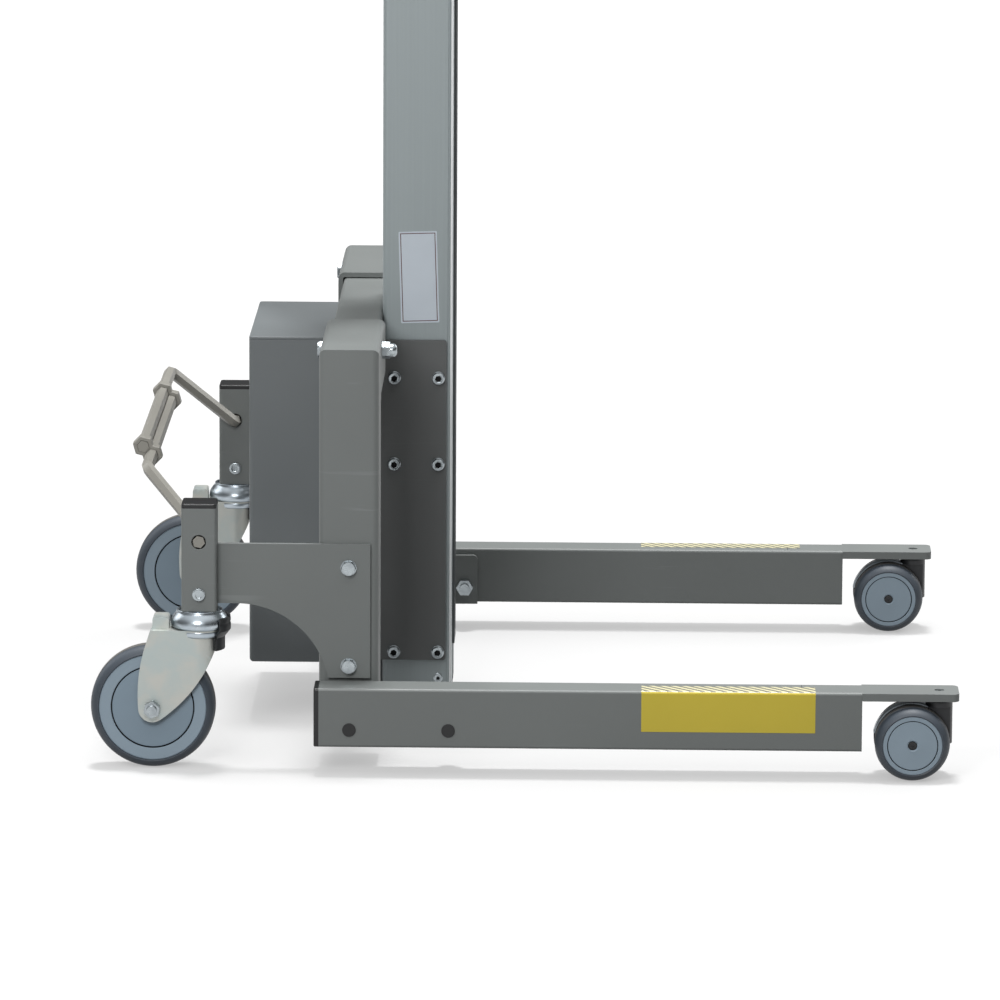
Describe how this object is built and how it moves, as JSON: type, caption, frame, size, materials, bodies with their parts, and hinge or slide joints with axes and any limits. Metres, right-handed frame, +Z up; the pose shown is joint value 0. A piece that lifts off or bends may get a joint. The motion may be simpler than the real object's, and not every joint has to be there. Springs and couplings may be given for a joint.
{
  "type": "lifting trolley",
  "caption": "Electric lifting trolley: belt-driven mast carriage on a straddle frame of adjustable width, with braked rear castors and twin-wheel front castors.",
  "frame": {"origin": "on the floor, under the centre of the overall box", "axes": "+X forwards along the legs, +Y to the left, +Z up the mast"},
  "size_m": [0.8684, 0.7824, 1.514],
  "materials": {
    "chassis_paint": "satin powder coat",
    "mast_anodised": "satin anodised",
    "plate_paint": "satin powder coat",
    "zinc": "zinc plated",
    "aluminium": "machined",
    "belt_rubber": "matt",
    "motor_paint": "satin",
    "black_plastic": "fine texture",
    "battery_plastic": "matt",
    "button_plastic": "gloss",
    "stop_plastic": "gloss",
    "grip_rubber": "matt",
    "brake_paint": "satin",
    "wheel_tyre": "matt, grey hub"
  },
  "bodies": {
    "base": {"cross_beam": "chassis_paint", "mast_profile": "mast_anodised", "guide_rails": "mast_anodised", "mast_cap": "black_plastic", "mast_foot": "black_plastic", "mast_plate_right": "plate_paint", "mast_plate_left": "plate_paint", "mast_screws": "zinc", "drive_belt": "belt_rubber", "gear_motor": "motor_paint", "idler_axle": "zinc", "battery_box": "chassis_paint", "battery_lid": "chassis_paint", "battery_pack": "battery_plastic", "control_unit": "aluminium", "handle_bar": "chassis_paint", "handle_grips": "grip_rubber", "control_box": "black_plastic"},
    "drive_pulley": {"drive_pulley": "aluminium"},
    "idler_pulley": {"idler_pulley": "aluminium"},
    "carriage": {"carriage_block": "aluminium", "guide_shoes": "black_plastic", "tool_plate": "aluminium", "carriage_screws": "zinc"},
    "lift_button": {"lift_button": "button_plastic"},
    "lower_button": {"lower_button": "button_plastic"},
    "stop_button": {"stop_button": "stop_plastic"},
    "side_right": {"sleeve_right": "chassis_paint", "column_right": "chassis_paint", "castor_arm_right": "chassis_paint", "castor_tube_right": "chassis_paint", "leg_tube_right": "chassis_paint", "leg_nose_right": "chassis_paint", "plastic_plugs_right": "black_plastic", "frame_bolts_right": "zinc", "rear_castor_head_right": "zinc"},
    "rear_fork_right": {"rear_fork_right": "zinc", "rear_axle_right": "zinc"},
    "rear_wheel_right": {"rear_wheel_right": "wheel_tyre"},
    "front_castor_right": {"front_castor_body_right": "black_plastic"},
    "front_wheel_outer_right": {"front_wheel_outer_right": "wheel_tyre"},
    "front_wheel_inner_right": {"front_wheel_inner_right": "wheel_tyre"},
    "side_left": {"sleeve_left": "chassis_paint", "column_left": "chassis_paint", "castor_arm_left": "chassis_paint", "castor_tube_left": "chassis_paint", "leg_tube_left": "chassis_paint", "leg_nose_left": "chassis_paint", "plastic_plugs_left": "black_plastic", "frame_bolts_left": "zinc", "rear_castor_head_left": "zinc"},
    "rear_fork_left": {"rear_fork_left": "zinc", "rear_axle_left": "zinc"},
    "rear_wheel_left": {"rear_wheel_left": "wheel_tyre"},
    "front_castor_left": {"front_castor_body_left": "black_plastic"},
    "front_wheel_outer_left": {"front_wheel_outer_left": "wheel_tyre"},
    "front_wheel_inner_left": {"front_wheel_inner_left": "wheel_tyre"},
    "brake_right": {"brake_bar_right": "brake_paint", "pedal_holder": "brake_paint"},
    "brake_left": {"brake_bar_left": "brake_paint"}
  },
  "joints": [
    {"name": "carriage_lift", "type": "slide", "parent": "base", "child": "carriage", "axis": [0, 0, 1], "range_m": [-0.65, 0.46]},
    {"name": "drive_pulley_spin", "type": "hinge", "parent": "base", "child": "drive_pulley", "pos_m": [-0.116, 0, 0.095], "axis": [0, 1, 0], "range_deg": [-1300, 1750]},
    {"name": "idler_pulley_spin", "type": "hinge", "parent": "base", "child": "idler_pulley", "pos_m": [-0.116, 0, 1.445], "axis": [0, 1, 0], "range_deg": [-1300, 1750]},
    {"name": "lift_button_press", "type": "slide", "parent": "base", "child": "lift_button", "axis": [0.9272, 0, -0.3746], "range_m": [0, 0.003], "stiffness_N_per_m": 400, "springref_m": -0.002},
    {"name": "lower_button_press", "type": "slide", "parent": "base", "child": "lower_button", "axis": [0.9272, 0, -0.3746], "range_m": [0, 0.003], "stiffness_N_per_m": 400, "springref_m": -0.002},
    {"name": "stop_button_press", "type": "slide", "parent": "base", "child": "stop_button", "axis": [0.9272, 0, -0.3746], "range_m": [0, 0.003]},
    {"name": "width_right", "type": "slide", "parent": "base", "child": "side_right", "axis": [0, 1, 0], "range_m": [-0.04, 0.03]},
    {"name": "rear_swivel_right", "type": "hinge", "parent": "side_right", "child": "rear_fork_right", "pos_m": [-0.3249, -0.3405, 0.139], "axis": [0, 0, 1], "continuous": true},
    {"name": "rear_roll_right", "type": "hinge", "parent": "rear_fork_right", "child": "rear_wheel_right", "pos_m": [-0.3717, -0.3405, 0.0625], "axis": [0, 1, 0], "continuous": true},
    {"name": "front_swivel_right", "type": "hinge", "parent": "side_right", "child": "front_castor_right", "pos_m": [0.4148, -0.3605, 0.07], "axis": [0, 0, 1], "continuous": true},
    {"name": "front_roll_outer_right", "type": "hinge", "parent": "front_castor_right", "child": "front_wheel_outer_right", "pos_m": [0.388, -0.3802, 0.0375], "axis": [0, 1, 0], "continuous": true},
    {"name": "front_roll_inner_right", "type": "hinge", "parent": "front_castor_right", "child": "front_wheel_inner_right", "pos_m": [0.388, -0.3408, 0.0375], "axis": [0, 1, 0], "continuous": true},
    {"name": "width_left", "type": "slide", "parent": "base", "child": "side_left", "axis": [0, 1, 0], "range_m": [-0.03, 0.04]},
    {"name": "rear_swivel_left", "type": "hinge", "parent": "side_left", "child": "rear_fork_left", "pos_m": [-0.3249, 0.3405, 0.139], "axis": [0, 0, 1], "continuous": true},
    {"name": "rear_roll_left", "type": "hinge", "parent": "rear_fork_left", "child": "rear_wheel_left", "pos_m": [-0.3717, 0.3405, 0.0625], "axis": [0, 1, 0], "continuous": true},
    {"name": "front_swivel_left", "type": "hinge", "parent": "side_left", "child": "front_castor_left", "pos_m": [0.4148, 0.3605, 0.07], "axis": [0, 0, 1], "continuous": true},
    {"name": "front_roll_outer_left", "type": "hinge", "parent": "front_castor_left", "child": "front_wheel_outer_left", "pos_m": [0.388, 0.3802, 0.0375], "axis": [0, 1, 0], "continuous": true},
    {"name": "front_roll_inner_left", "type": "hinge", "parent": "front_castor_left", "child": "front_wheel_inner_left", "pos_m": [0.388, 0.3408, 0.0375], "axis": [0, 1, 0], "continuous": true},
    {"name": "brake_pedal", "type": "hinge", "parent": "side_right", "child": "brake_right", "pos_m": [-0.3249, -0.3405, 0.2318], "axis": [0, 1, 0], "range_deg": [-30, 30]},
    {"name": "brake_follow", "type": "hinge", "parent": "side_left", "child": "brake_left", "pos_m": [-0.3249, 0.3405, 0.2318], "axis": [0, 1, 0], "range_deg": [-30, 30]}
  ],
  "couplings": [
    {"joint": "drive_pulley_spin", "follows": "carriage_lift", "rad_per_m": -45.872},
    {"joint": "idler_pulley_spin", "follows": "carriage_lift", "rad_per_m": -45.872},
    {"joint": "brake_follow", "follows": "brake_pedal", "ratio": 1}
  ]
}
